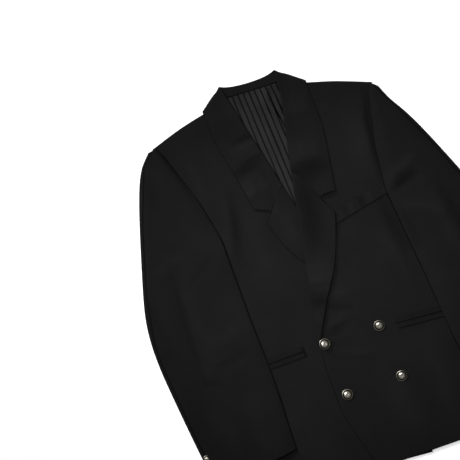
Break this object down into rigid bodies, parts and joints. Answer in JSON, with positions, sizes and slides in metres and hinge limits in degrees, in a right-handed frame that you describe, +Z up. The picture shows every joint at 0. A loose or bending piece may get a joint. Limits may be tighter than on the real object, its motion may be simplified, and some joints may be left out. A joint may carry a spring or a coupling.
{
  "type": "double-breasted jacket",
  "caption": "Black double-breasted jacket with notched lapels, striped lining and metal buttons, lying flat with its front up.",
  "frame": {"origin": "middle of the jacket's outline, on the surface that it lies on", "axes": "+Y up the jacket towards the collar, +X towards the wearer's left sleeve, +Z up out of the front"},
  "size_m": [0.718, 0.8038, 0.0137],
  "materials": {
    "black_wool": "fine black wool twill, matt, with a faint dry sheen",
    "lapel_wool": "the same black twill on the lapels and collar, pressed a little smoother",
    "striped_lining": "charcoal viscose lining with thin black stripes, soft satin sheen",
    "old_silver": "antique silver plated buttons, dark in the hollows and bright on the rims"
  },
  "bodies": {
    "root": {"back_right": "black_wool", "back_left": "black_wool", "front_right": "black_wool", "front_left": "black_wool", "sleeve_right_top": "black_wool", "sleeve_right_under": "black_wool", "sleeve_left_top": "black_wool", "sleeve_left_under": "black_wool", "breast_welt": "black_wool", "hip_jet_right_upper": "black_wool", "hip_jet_right_lower": "black_wool", "hip_jet_left_upper": "black_wool", "hip_jet_left_lower": "black_wool", "lapel_right": "lapel_wool", "lapel_left": "lapel_wool", "collar": "lapel_wool", "neck_lining": "striped_lining", "button_1": "old_silver", "button_2": "old_silver", "button_3": "old_silver", "button_4": "old_silver", "cuff_button_right_1": "old_silver", "cuff_button_right_2": "old_silver", "cuff_button_right_3": "old_silver", "cuff_button_left_1": "old_silver", "cuff_button_left_2": "old_silver", "cuff_button_left_3": "old_silver"}
  },
  "joints": []
}
